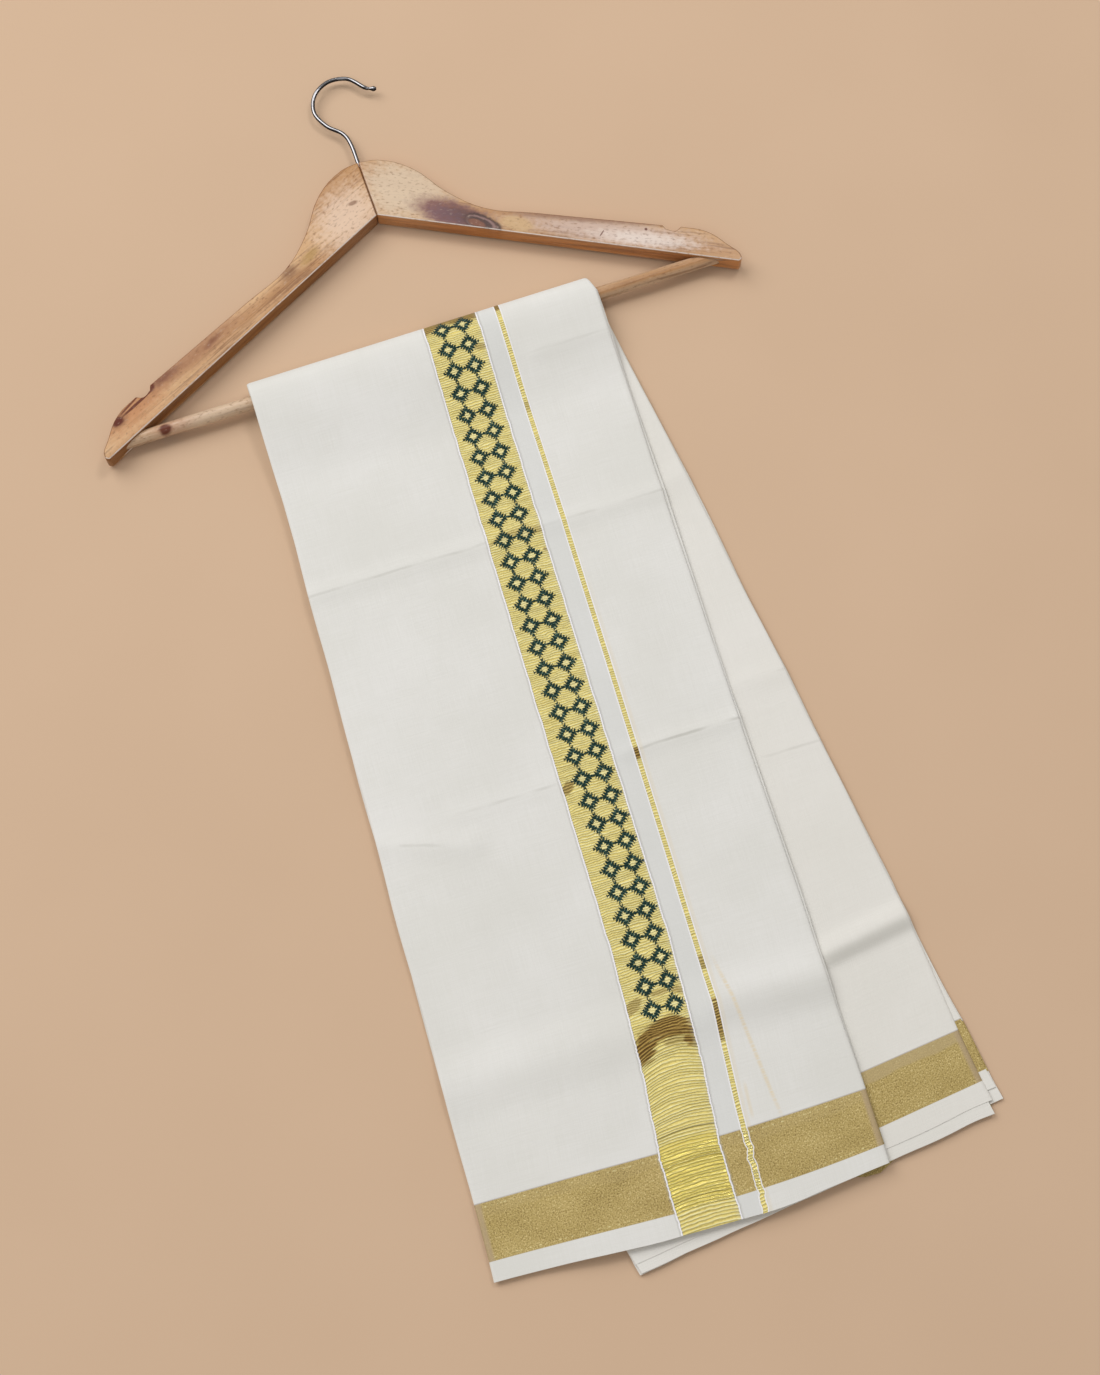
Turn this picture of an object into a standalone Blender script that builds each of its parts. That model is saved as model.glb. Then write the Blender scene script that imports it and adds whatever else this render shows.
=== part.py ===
"""A cotton dhoti with woven gold borders, hung over the trouser rod of a wooden hanger, all
lying flat on a surface.

The cloth is folded lengthwise into a strip eight plies thick and laid double over the rod.
The front half lies on the back half, and the two are fanned a few degrees apart.
Everything is laid out from the middle of the rod: X runs along the rod, Y towards the hook,
and Z = 0 is the surface that the cloth rests on.
"""
from collections import namedtuple
from math import asin, cos, pi, radians, sin

import bmesh
import bpy
from mathutils import Vector

# ---------------------------------------------------------------- driving dimensions, metres
GAP = 0.0003                    # clearance between neighbouring pieces
FACE = 0.0010                   # wall of a ply that shows
LAYERS = 0.0024                 # the hidden plies of each half, pressed together
HALF = LAYERS + GAP + FACE      # one half of the cloth, all its plies
REST_GAP = 0.0006               # looseness between the front half and the back half
PLY_STEP_DEPTH = 0.0012         # depth of the groove between two ply edges
PLY_STEP_SHARE = 0.72           # part of a ply step's height that stands out

ROD_RADIUS = 0.0046
ROD_END = 0.2130                # from the middle of the rod to either end
ROD_HEIGHT = HALF + GAP + ROD_RADIUS
ROD_SIDES = 24
FOLD_SLACK = 0.0051             # how far the fold stands off the rod's far side
FOLD_ROUND = 0.0030             # rounding of the fold's right corner
FOLD_STEPS = 10                 # mesh rows round the fold
DRAPE_RUN = 0.070               # length over which the front half comes down off the rod
SAG_RUN = 0.055                 # width over which it comes down beside the back half
SAG_START = 0.004               # how far past the back half's left edge it starts to come down
COLUMNS = 12                    # mesh columns across the cloth
BOW_SKEW = 1.4                  # above 1, a hem bows most to the right of its middle
SHARP_FROM = radians(40)        # edges turning more than this are shaded sharp

WOOD = 0.0130                   # thickness of the hanger's arms
WOOD_ROUND = 0.0018             # rounding of the arms' edges
ROUNDED_FROM = radians(60)      # edges turning more than this are rounded
HEAD_TOP = 0.1458               # from the rod's axis to the top of the hanger's head
ARM_FOOT = 0.1028               # from the rod's axis to the underside of the arms' joint
FLOOR_CLEAR = 0.0001            # the head's top edge almost touches the surface
WIRE_RADIUS = 0.0014
WIRE_POINT_GAP = 0.0045         # spacing of the points along the hook's wire
STEM_DEPTH = 0.0140             # how far the hook's stem is set into the head
HOOK_CENTRE = (0.0038, 0.1970)  # of the hook's round bend, in the plane of the hanger
HOOK_BEND = 0.0202              # radius of the bend, to the middle of the wire
HOOK_BEND_FROM = radians(222)   # where the bend begins, above the stem
HOOK_BEND_TO = radians(22)      # where it ends, by the neck
HOOK_BEND_STEPS = 6

HANGER_TILT = -asin((ROD_HEIGHT - WOOD / 2 - FLOOR_CLEAR) / HEAD_TOP)
ALONG_X = (0.0, pi / 2, 0.0)    # turns a round bar from Z to X
ALONG_Y = (pi / 2, 0.0, 0.0)    # and to Y
ROD_PLACE = (0.0000, 0.1986, 0.0)    # middle of the rod, from the middle of the whole part

# ------------------------------------------------------------------------------ cloth tables
Section = namedtuple("Section", "place left_x left_y right_x right_y bow steps")
# Ends of each section across the cloth, how far its middle bows towards the hem, and the
# mesh rows from it to the next one.
FRONT_SECTIONS = (
    Section("crest", -0.1206, 0.0, 0.1221, 0.0, 0.0, 5),
    Section("below the rod", -0.1213, -0.0265, 0.1211, -0.0270, 0.0, 3),
    Section("foot of the drape", -0.1226, -0.0750, 0.1195, -0.0780, 0.0, 4),
    Section("upper crease", -0.1258, -0.1433, 0.1169, -0.1477, 0.0, 7),
    Section("middle", -0.1345, -0.3020, 0.1100, -0.3100, 0.0, 7),
    Section("lower crease", -0.1430, -0.4700, 0.1036, -0.4810, 0.0, 4),
    Section("top of the border", -0.1467, -0.5423, 0.1003, -0.5548, 0.0022, 2),
    Section("foot of the border", -0.1484, -0.5762, 0.0985, -0.5888, 0.0045, 1),
    Section("hem", -0.1494, -0.5890, 0.0979, -0.6005, 0.0070, 0),
)
BACK_SECTIONS = (
    Section("under the rod", -0.1206, 0.0, 0.1221, 0.0, 0.0, 4),
    Section("upper crease", -0.1085, -0.1240, 0.1346, -0.1218, 0.0, 6),
    Section("middle", -0.0939, -0.2926, 0.1500, -0.2884, 0.0, 5),
    Section("lower third", -0.0806, -0.4512, 0.1635, -0.4381, 0.0, 3),
    Section("top of the border", -0.0720, -0.5577, 0.1681, -0.5397, 0.0, 2),
    Section("foot of the border", -0.0689, -0.5940, 0.1706, -0.5737, 0.0, 1),
    Section("hem", -0.0680, -0.6065, 0.1722, -0.5862, 0.0, 0),
)

Crease = namedtuple("Crease", "place from_x from_y to_x to_y height half_width")
FRONT_CREASES = (
    Crease("upper crease", -0.1400, -0.1430, 0.1300, -0.1480, 0.0012, 0.020),
    Crease("right crease", 0.0273, -0.3078, 0.1200, -0.3105, 0.0010, 0.018),
    Crease("left slant", -0.1420, -0.3112, -0.0724, -0.3359, 0.0010, 0.018),
    Crease("lower crease", -0.1540, -0.4712, 0.1140, -0.4815, 0.0016, 0.024),
)
BACK_CREASES = (
    Crease("upper crease", 0.1180, -0.1430, 0.1480, -0.1385, 0.0010, 0.018),
    Crease("middle crease", 0.1170, -0.2895, 0.1620, -0.2820, 0.0010, 0.018),
    Crease("lower crease", 0.1164, -0.4676, 0.1760, -0.4610, 0.0018, 0.022),
)

Leaf = namedtuple("Leaf", "place left_out right_out hem_out side_from")
# How far each step of ply edges stands out past the face above it. A right edge that slips
# out does so from the distance side_from below the rod.
FRONT_LEAVES = (
    Leaf("lowest plies", -0.0010, 0.0010, -0.0040, 0.0),
    Leaf("middle plies", 0.0008, -0.0012, -0.0012, 0.0),
    Leaf("plies under the face", -0.0010, 0.0004, -0.0025, 0.0),
)
FOLD_LEAVES = (
    Leaf("innermost plies", -0.0014, 0.0004, 0.0, 0.0),
    Leaf("outer plies", 0.0004, -0.0012, 0.0, 0.0),
)
BACK_LEAVES = (
    Leaf("plies on the surface", -0.0010, -0.0010, -0.0030, 0.0),
    Leaf("plies slipped to the side", -0.0030, 0.0064, 0.0026, 0.440),
    Leaf("plies slipped past the hem", -0.0006, -0.0002, 0.0092, 0.0),
)
FLUSH = Leaf("face", 0.0, 0.0, 0.0, 0.0)

# ----------------------------------------------------------------------------- hanger tables
OutlinePoint = namedtuple("OutlinePoint", "place x y handle")
# The right arm's front outline, from the foot of the joint, round by the head and the tip.
ARM_OUTLINE = (
    OutlinePoint("joint foot", GAP / 2, ARM_FOOT, "VECTOR"),
    OutlinePoint("joint top", GAP / 2, HEAD_TOP, "VECTOR"),
    OutlinePoint("crown", 0.0133, 0.1435, "AUTO"),
    OutlinePoint("shoulder", 0.0332, 0.1301, "AUTO"),
    OutlinePoint("shoulder foot", 0.0510, 0.1040, "AUTO"),
    OutlinePoint("neck", 0.0711, 0.0840, "AUTO"),
    OutlinePoint("arm", 0.1013, 0.0696, "AUTO"),
    OutlinePoint("notch edge", 0.1812, 0.0317, "VECTOR"),
    OutlinePoint("notch wall", 0.1824, 0.0282, "VECTOR"),
    OutlinePoint("notch floor", 0.1879, 0.0248, "AUTO"),
    OutlinePoint("notch lip", 0.1926, 0.0265, "VECTOR"),
    OutlinePoint("tip top", 0.2074, 0.0178, "AUTO"),
    OutlinePoint("tip side", 0.2179, 0.0036, "AUTO"),
    OutlinePoint("tip end", 0.2236, -0.0089, "AUTO"),
    OutlinePoint("tip foot", 0.2211, -0.0111, "VECTOR"),
)
# The two arms are sawn from one pattern. Side is -1 on the left and 1 on the right.
Arm = namedtuple("Arm", "name side")
ARMS = (Arm("arm_left", -1), Arm("arm_right", 1))

WirePoint = namedtuple("WirePoint", "x y swell")
# The hook's route up to its round bend and on from it to its ball. Swell is the wire's
# thickness there, against its own.
HOOK_STEM = (
    WirePoint(0.0004, HEAD_TOP - STEM_DEPTH, 1.0),
    WirePoint(0.0004, HEAD_TOP, 1.0),
    WirePoint(0.0003, 0.1640, 1.0),
    WirePoint(-0.0026, 0.1742, 1.0),
)
HOOK_END = (
    WirePoint(0.0258, 0.2024, 0.75),
    WirePoint(0.0284, 0.2014, 1.25),
    WirePoint(0.0303, 0.2008, 0.70),
)

Finish = namedtuple("Finish", "colour roughness metallic")
COTTON = Finish((0.70, 0.70, 0.65), 0.85, 0.0)
PINE = Finish((0.58, 0.41, 0.27), 0.50, 0.0)
STEEL = Finish((0.60, 0.60, 0.62), 0.25, 1.0)


# -------------------------------------------------------------------------------- small tools
def smooth(share):
    """0 below 0 and 1 above 1, with an even curve between them."""
    share = min(max(share, 0.0), 1.0)
    return share * share * (3 - 2 * share)


def material(name, finish):
    """A plain material in the piece's own colour."""
    made = bpy.data.materials.new(name)
    made.use_nodes = True
    shader = made.node_tree.nodes["Principled BSDF"]
    shader.inputs["Base Color"].default_value = (*finish.colour, 1.0)
    shader.inputs["Roughness"].default_value = finish.roughness
    shader.inputs["Metallic"].default_value = finish.metallic
    return made


def collection(name):
    """A new collection in the scene."""
    made = bpy.data.collections.new(name)
    bpy.context.scene.collection.children.link(made)
    return made


def empty(name, parent, location, rotation=(0.0, 0.0, 0.0)):
    """An empty that carries the pieces laid out from it."""
    made = bpy.data.objects.new(name, None)
    made.location = location
    made.rotation_euler = rotation
    made.parent = parent
    PARTS.objects.link(made)
    return made


def finish_mesh(mesh, name, finish):
    """Gives a piece's mesh its material, and shades it smooth but for its sharp edges."""
    mesh.materials.append(material(name, finish))
    mesh.shade_smooth()
    mesh.set_sharp_from_angle(angle=SHARP_FROM)


def mesh_object(name, mesh, parent, finish):
    """An object for one piece made as a mesh."""
    finish_mesh(mesh, name, finish)
    made = bpy.data.objects.new(name, mesh)
    made.parent = parent
    PARTS.objects.link(made)
    return made


def cylinder(name, radius, length, location, rotation, parent, owner):
    """A round bar along its own Z, moved into the collection that owns it."""
    bpy.ops.mesh.primitive_cylinder_add(vertices=ROD_SIDES, radius=radius, depth=length,
                                        location=location, rotation=rotation)
    made = bpy.context.object
    made.name = name
    made.parent = parent
    for holder in made.users_collection:
        holder.objects.unlink(made)
    owner.objects.link(made)
    return made


# -------------------------------------------------------------------------------------- cloth
def rows_of(sections):
    """Left end, right end and bow of every mesh row, between the named sections."""
    rows = []
    for section, following in zip(sections, sections[1:]):
        for step in range(section.steps):
            share = step / section.steps
            rows.append([a + (b - a) * share for a, b in zip(section[1:6], following[1:6])])
    rows.append(list(sections[-1][1:6]))
    return rows


def back_left(y):
    """X of the back half's left edge, which the front half hides."""
    top, foot = BACK_SECTIONS[0], BACK_SECTIONS[-1]
    share = (y - top.left_y) / (foot.left_y - top.left_y)
    return top.left_x + (foot.left_x - top.left_x) * share


def front_underside(x, y):
    """The front half lies on the back half, sags to the surface beside it, and rises to
    pass over the rod."""
    beside = smooth((back_left(y) - SAG_START - x) / SAG_RUN)
    lying = (HALF + REST_GAP) * (1 - beside)
    over_rod = 1 - smooth(-y / DRAPE_RUN)
    return lying + (ROD_HEIGHT + ROD_RADIUS + GAP - lying) * over_rod


def back_underside(x, y):
    """The back half lies flat on the surface."""
    return 0.0


def creased(creases, x, y):
    """How high the pressed creases lift a face at x, y."""
    lift = 0.0
    for crease in creases:
        run = Vector((crease.to_x - crease.from_x, crease.to_y - crease.from_y))
        point = Vector((x - crease.from_x, y - crease.from_y))
        along = point.dot(run) / run.length_squared
        across = abs(run.x * point.y - run.y * point.x) / run.length
        inside = smooth(min(along, 1 - along) * run.length / crease.half_width + 0.5)
        lift = max(lift, crease.height * inside * (1 - smooth(across / crease.half_width)))
    return lift


def edge_rings(leaves, foot, top):
    """Height, leaf and set-back of each ring round a stack's edge, from its foot up. Each
    step of ply edges stands out, and a groove parts it from the next."""
    pitch = (top - foot) / len(leaves)
    rings = []
    for number, leaf in enumerate(leaves):
        height = foot + number * pitch
        last = number + 1 == len(leaves)
        rings.append((height, leaf, 0.0))
        rings.append((height + pitch * (1.0 if last else PLY_STEP_SHARE), leaf, 0.0))
        if not last:
            rings.append((height + pitch * (1 + PLY_STEP_SHARE) / 2, leaf, PLY_STEP_DEPTH))
    return rings


def ruled_block(columns, rows, levels):
    """A unit block whose faces are ruled into columns, rows and levels, all one closed skin."""
    bm = bmesh.new()
    bmesh.ops.create_cube(bm, size=1.0)
    bmesh.ops.translate(bm, verts=bm.verts, vec=(0.5, 0.5, 0.5))
    for axis, parts in enumerate((columns, rows, levels)):
        if parts > 1:
            along = [edge for edge in bm.edges
                     if abs(edge.verts[0].co[axis] - edge.verts[1].co[axis]) > 0.5]
            bmesh.ops.subdivide_edges(bm, edges=along, cuts=parts - 1, use_grid_fill=True)
    return bm


def cloth_solid(name, columns, rows, rings, place, parent):
    """A stretch of cloth: a ruled block with every point put in its place by its share across
    the cloth, its row and its ring."""
    bm = ruled_block(columns, rows, len(rings) - 1)
    for vertex in bm.verts:
        across, along, up = vertex.co
        vertex.co = place(across, round(along * rows), rings[round(up * (len(rings) - 1))])
    bmesh.ops.recalc_face_normals(bm, faces=bm.faces)
    mesh = bpy.data.meshes.new(name)
    bm.to_mesh(mesh)
    bm.free()
    return mesh_object(name, mesh, parent, COTTON)


def lying_cloth(name, sections, rings, underside, creases, parent):
    """A face or the hidden plies of one half, on the rows of its section table."""
    rows = rows_of(sections)

    def place(across, row, ring):
        height, leaf, set_back = ring
        left_x, left_y, right_x, right_y, bow = rows[row]
        x = left_x + (right_x - left_x) * across
        y = left_y + (right_y - left_y) * across - bow * sin(pi * across ** BOW_SKEW)
        if across == 0:
            x -= leaf.left_out - set_back
        elif across == 1:
            x += leaf.right_out * smooth((-y - leaf.side_from) / DRAPE_RUN) - set_back
        if row == len(rows) - 1:
            y -= leaf.hem_out - set_back
        return x, y, underside(x, y) + height + creased(creases, x, y)

    return cloth_solid(name, COLUMNS, len(rows) - 1, rings, place, parent)


def folded_cloth(name, rings, parent):
    """The stretch that turns round the rod, from the crest down to the surface."""
    left, right = FRONT_SECTIONS[0].left_x, FRONT_SECTIONS[0].right_x

    def place(across, row, ring):
        height, leaf, set_back = ring
        turn = pi * row / FOLD_STEPS
        x = left + (right - left) * across
        if across == 0:
            x -= leaf.left_out - set_back
        elif across == 1:
            x += leaf.right_out - set_back - FOLD_ROUND * sin(turn)
        reach = ROD_RADIUS + GAP + height
        return x, (reach + FOLD_SLACK) * sin(turn), ROD_HEIGHT + reach * cos(turn)

    return cloth_solid(name, COLUMNS, FOLD_STEPS, rings, place, parent)


def build_cloth(parent):
    layers = (0.0, LAYERS)
    face = (LAYERS + GAP, HALF)
    lying_cloth("front_face", FRONT_SECTIONS, edge_rings((FLUSH,), *face),
                front_underside, FRONT_CREASES, parent)
    lying_cloth("front_layers", FRONT_SECTIONS, edge_rings(FRONT_LEAVES, *layers),
                front_underside, (), parent)
    folded_cloth("fold_face", edge_rings((FLUSH,), *face), parent)
    folded_cloth("fold_layers", edge_rings(FOLD_LEAVES, *layers), parent)
    lying_cloth("back_face", BACK_SECTIONS, edge_rings((FLUSH,), *face),
                back_underside, BACK_CREASES, parent)
    lying_cloth("back_layers", BACK_SECTIONS, edge_rings(BACK_LEAVES, *layers),
                back_underside, (), parent)


# ------------------------------------------------------------------------------------- hanger
def drill(name, radius, length, location, rotation, parent):
    """A round bar that cuts its hole through whatever it meets."""
    made = cylinder(name, radius, length, location, rotation, parent, CUTTERS)
    made.hide_render = True
    made.display_type = "WIRE"
    return made


def arm(row, drills, parent):
    """One wooden arm: its flat outline, thickened, rounded along its edges and drilled."""
    outline = bpy.data.curves.new(row.name, "CURVE")
    outline.dimensions = "2D"
    outline.fill_mode = "BOTH"
    outline.extrude = WOOD / 2
    outline.resolution_u = 4
    spline = outline.splines.new("BEZIER")
    spline.use_cyclic_u = True
    spline.bezier_points.add(len(ARM_OUTLINE) - 1)
    for point, corner in zip(spline.bezier_points, ARM_OUTLINE):
        point.co = (row.side * corner.x, corner.y, 0.0)
        point.handle_left_type = corner.handle
        point.handle_right_type = corner.handle
    flat = bpy.data.objects.new(row.name + "_outline", outline)
    PARTS.objects.link(flat)
    graph = bpy.context.evaluated_depsgraph_get()
    mesh = bpy.data.meshes.new_from_object(flat.evaluated_get(graph))
    bpy.data.objects.remove(flat)
    bm = bmesh.new()
    bm.from_mesh(mesh)
    bmesh.ops.remove_doubles(bm, verts=bm.verts, dist=1e-6)
    bmesh.ops.dissolve_limit(bm, angle_limit=radians(1), verts=bm.verts, edges=bm.edges)
    bmesh.ops.recalc_face_normals(bm, faces=bm.faces)
    bm.to_mesh(mesh)
    bm.free()
    made = mesh_object(row.name, mesh, parent, PINE)
    rounding = made.modifiers.new("rounded edges", "BEVEL")
    rounding.width = WOOD_ROUND
    rounding.segments = 2
    rounding.limit_method = "ANGLE"
    rounding.angle_limit = ROUNDED_FROM
    for cutter in drills:
        cut = made.modifiers.new(cutter.name, "BOOLEAN")
        cut.operation = "DIFFERENCE"
        cut.solver = "EXACT"
        cut.object = cutter


def trouser_rod(parent):
    """The round rod that the cloth hangs over, set into both arms."""
    made = cylinder("trouser_rod", ROD_RADIUS, 2 * ROD_END, (0.0, 0.0, 0.0), ALONG_X, parent,
                    PARTS)
    finish_mesh(made.data, made.name, PINE)


def smooth_route(route, spacing):
    """Points at an even spacing on a smooth curve through the route's points."""
    values = [Vector(point) for point in route]
    values = [values[0] * 2 - values[1], *values, values[-1] * 2 - values[-2]]
    points = []
    for before, start, end, after in zip(values, values[1:], values[2:], values[3:]):
        steps = max(2, round((end - start).xy.length / spacing))
        for step in range(steps):
            t = step / steps
            points.append(0.5 * (2 * start + (end - before) * t
                                 + (2 * before - 5 * start + 4 * end - after) * t ** 2
                                 + (3 * start - before - 3 * end + after) * t ** 3))
    points.append(values[-2])
    return points


def hook(parent):
    """The bent wire hook, with a neck and a ball at its free end."""
    wire = bpy.data.curves.new("hook", "CURVE")
    wire.dimensions = "3D"
    wire.bevel_depth = WIRE_RADIUS
    wire.bevel_resolution = 2
    wire.use_fill_caps = True
    bend = []
    for step in range(HOOK_BEND_STEPS):
        angle = HOOK_BEND_FROM + (HOOK_BEND_TO - HOOK_BEND_FROM) * step / (HOOK_BEND_STEPS - 1)
        bend.append(WirePoint(HOOK_CENTRE[0] + HOOK_BEND * cos(angle),
                              HOOK_CENTRE[1] + HOOK_BEND * sin(angle), 1.0))
    points = smooth_route((*HOOK_STEM, *bend, *HOOK_END), WIRE_POINT_GAP)
    spline = wire.splines.new("POLY")
    spline.points.add(len(points) - 1)
    for bead, point in zip(spline.points, points):
        bead.co = (point.x, point.y, 0.0, 1.0)
        bead.radius = point.z
    wire.materials.append(material("hook", STEEL))
    made = bpy.data.objects.new("hook", wire)
    made.parent = parent
    PARTS.objects.link(made)


def build_hanger(parent):
    """The hanger is built flat round the rod's axis, and its empty tilts it."""
    hanger = empty("hanger", parent, (0.0, 0.0, ROD_HEIGHT), (HANGER_TILT, 0.0, 0.0))
    rod_drill = drill("rod_drill", ROD_RADIUS + GAP, 2 * (ROD_END + GAP), (0.0, 0.0, 0.0),
                      ALONG_X, hanger)
    stem_drill = drill("stem_drill", WIRE_RADIUS + GAP, 2 * (STEM_DEPTH + GAP),
                       (HOOK_STEM[0].x, HEAD_TOP, 0.0), ALONG_Y, hanger)
    for row in ARMS:
        arm(row, (rod_drill, stem_drill), hanger)
    trouser_rod(hanger)
    hook(hanger)


for leftover in list(bpy.data.objects):
    bpy.data.objects.remove(leftover)
PARTS = collection("dhoti_on_hanger")
CUTTERS = collection("cutters")
layout = empty("layout", None, ROD_PLACE)
build_cloth(layout)
build_hanger(layout)
bpy.context.view_layer.update()
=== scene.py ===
"""The looks of a cotton dhoti with woven gold borders, folded into a strip and laid double over
the rod of a wooden trouser hanger, all lying flat.

Everything is laid out from the middle of the rod: X runs along the rod, Y towards the hook,
and Z = 0 is the surface that the cloth rests on. Sizes are in metres unless a name says mm.
"""
from collections import namedtuple
from math import asin, cos, pi, radians, sin

import bmesh
import bpy
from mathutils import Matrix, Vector, noise


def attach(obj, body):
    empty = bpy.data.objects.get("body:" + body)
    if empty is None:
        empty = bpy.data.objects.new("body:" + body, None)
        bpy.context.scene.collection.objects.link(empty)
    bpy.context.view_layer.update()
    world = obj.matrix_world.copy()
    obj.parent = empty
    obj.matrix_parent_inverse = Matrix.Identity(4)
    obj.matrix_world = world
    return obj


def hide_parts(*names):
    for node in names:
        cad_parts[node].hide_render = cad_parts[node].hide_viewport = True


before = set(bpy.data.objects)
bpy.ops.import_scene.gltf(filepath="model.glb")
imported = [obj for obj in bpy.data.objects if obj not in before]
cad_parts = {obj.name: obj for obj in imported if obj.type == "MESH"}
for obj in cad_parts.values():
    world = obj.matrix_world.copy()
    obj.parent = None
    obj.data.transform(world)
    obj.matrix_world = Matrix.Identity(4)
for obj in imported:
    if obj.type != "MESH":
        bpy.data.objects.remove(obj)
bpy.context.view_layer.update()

MM = 0.001

# ---- the solids' sizes
ROD_PLACE = Vector((0.0, 0.1986, 0.0))  # middle of the rod, from the middle of the whole part
GAP = 0.0003  # air between the rod and the cloth
HALF = 0.0037  # one half of the cloth, all its plies
REST_GAP = 0.0006  # looseness between the front half and the back half
ROD_RADIUS = 0.0046
ROD_HEIGHT = HALF + GAP + ROD_RADIUS
FOLD_SLACK = 0.0051  # how far the fold stands off the rod's far side
FOLD_ROUND = 0.0030  # rounding of the fold's right corner
DRAPE_RUN = 0.070  # length over which the front half comes down off the rod
SAG_RUN = 0.055  # width over which it comes down beside the back half
SAG_START = 0.004  # how far out from the back half that starts
BOW_SKEW = 1.4  # above 1, a hem bows most to the right of its middle
WOOD, FLOOR_CLEAR = 0.0130, 0.0001  # thickness of the arms, and their height off the surface
HEAD_TOP = 0.1458  # from the rod's axis to the top of the hanger's head
HANGER_TILT = -asin((ROD_HEIGHT - WOOD / 2 - FLOOR_CLEAR) / HEAD_TOP)
WIRE_RADIUS = 0.0014
HOOK_CENTRE = (0.0038, 0.1970)  # of the hook's round bend, in the plane of the hanger
HOOK_BEND = 0.0202

# ---- the cloth
PLY = 0.00032  # thickness of the ply that shows
LEAF = 0.00074  # thickness of a pair of hidden plies
LEAF_PITCH = 0.00082  # from the top of one pair to the top of the next
EDGE_ROLL = 0.0010  # how far the ply that shows turns down at its sides
EDGE_ROLL_RUN = 0.0026
EDGE_WAVE = 0.0009  # unevenness of the sides and hems
RIPPLE_WIDE, RIPPLE_SMALL = 0.00030, 0.00008  # heights of the broad and small waves
EDGE_RUN = 0.03  # how far in from a side or hem a leaf's own edge begins
COLUMNS_CLOSER = 0.135  # how much closer the mesh's columns are at the two sides
FOLD_ROWS = 24
FOLD_ROUND_FROM, FOLD_ROUND_RUN = 0.22, 0.025  # across the strip
OVER_ROD_FLATTER = 0.7  # how much of its creases the rod pulls out of the cloth

Section = namedtuple("Section", "place along left_x left_y right_x right_y bow",
                     defaults=(0.0,))
# Ends of each section across the cloth, its distance along the cloth from the crest over the
# rod, and how far its middle bows towards the hem.
FRONT_SECTIONS = (
    Section("crest", 0.0, -0.1206, 0.0, 0.1221, 0.0),
    Section("below the rod", 0.0268, -0.1213, -0.0265, 0.1211, -0.027),
    Section("foot of the drape", 0.0765, -0.1226, -0.075, 0.1195, -0.078),
    Section("upper crease", 0.1455, -0.1258, -0.1433, 0.1169, -0.1477),
    Section("middle", 0.306, -0.1345, -0.302, 0.11, -0.31),
    Section("lower crease", 0.4755, -0.143, -0.47, 0.1036, -0.481),
    Section("top of the border", 0.5485, -0.1467, -0.5423, 0.1003, -0.5548, 0.0022),
    Section("foot of the border", 0.5825, -0.1484, -0.5762, 0.0985, -0.5888, 0.0045),
    Section("hem", 0.5948, -0.1494, -0.589, 0.0979, -0.6005, 0.007),
)
BACK_SECTIONS = (
    Section("under the rod", 0.0, -0.1206, 0.0, 0.1221, 0.0),
    Section("upper crease", 0.123, -0.1085, -0.124, 0.1346, -0.1218),
    Section("middle", 0.291, -0.0939, -0.2926, 0.15, -0.2884),
    Section("lower third", 0.445, -0.0806, -0.4512, 0.1635, -0.4381),
    Section("top of the border", 0.5485, -0.072, -0.5577, 0.1681, -0.5397),
    Section("foot of the border", 0.5835, -0.0689, -0.594, 0.1706, -0.5737),
    Section("hem", 0.596, -0.068, -0.6065, 0.1722, -0.5862),
)

LINE_SHARE = 0.35  # of a crease's half width, that its pressed line takes up
Crease = namedtuple("Crease", "place from_x from_y to_x to_y height half_width sharp shade",
                    defaults=(0.0,))
# Height lifts the cloth, or sinks it where it is below zero. Sharp is the part of it that
# stands as a pressed line, drawn with a painted shadow line, and shade how grey the painted
# shade beside it is.
FRONT_CREASES = (
    Crease("top right", 0.064, -0.0284, 0.123, -0.029, 0.0011, 0.01, 0.15),
    Crease("upper", -0.14, -0.143, 0.13, -0.148, 0.0012, 0.012, 0.26),
    Crease("right", 0.0273, -0.3078, 0.12, -0.3105, 0.0012, 0.011, 0.48),
    Crease("middle", -0.084, -0.3117, -0.008, -0.3137, 0.0005, 0.012, 0.25),
    Crease("left slant", -0.142, -0.3112, -0.0724, -0.3359, 0.0011, 0.014, 0.25),
    Crease("lower", -0.154, -0.4712, 0.114, -0.4815, 0.0021, 0.026, 0.0),
    # painted shade beside this crease
    Crease("lower, right", 0.02, -0.48, 0.124, -0.4905, 0.0004, 0.016, 0.0, 0.45),
)
BACK_CREASES = (
    Crease("upper", 0.118, -0.143, 0.148, -0.1385, 0.0009, 0.016, 0.2),
    Crease("middle", 0.112, -0.288, 0.16, -0.2885, 0.0009, 0.014, 0.25),
    Crease("slant", 0.11, -0.3385, 0.16, -0.34, 0.0003, 0.01, 0.25),
    Crease("lower", 0.105, -0.469, 0.18, -0.46, 0.0026, 0.013, 0.0),
    # painted shade beside the lower crease
    Crease("lower, worn", 0.095, -0.4752, 0.175, -0.4668, 0.0004, 0.007, 0.0, 1.0),
)

Track = namedtuple("Track", "along x")
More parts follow.
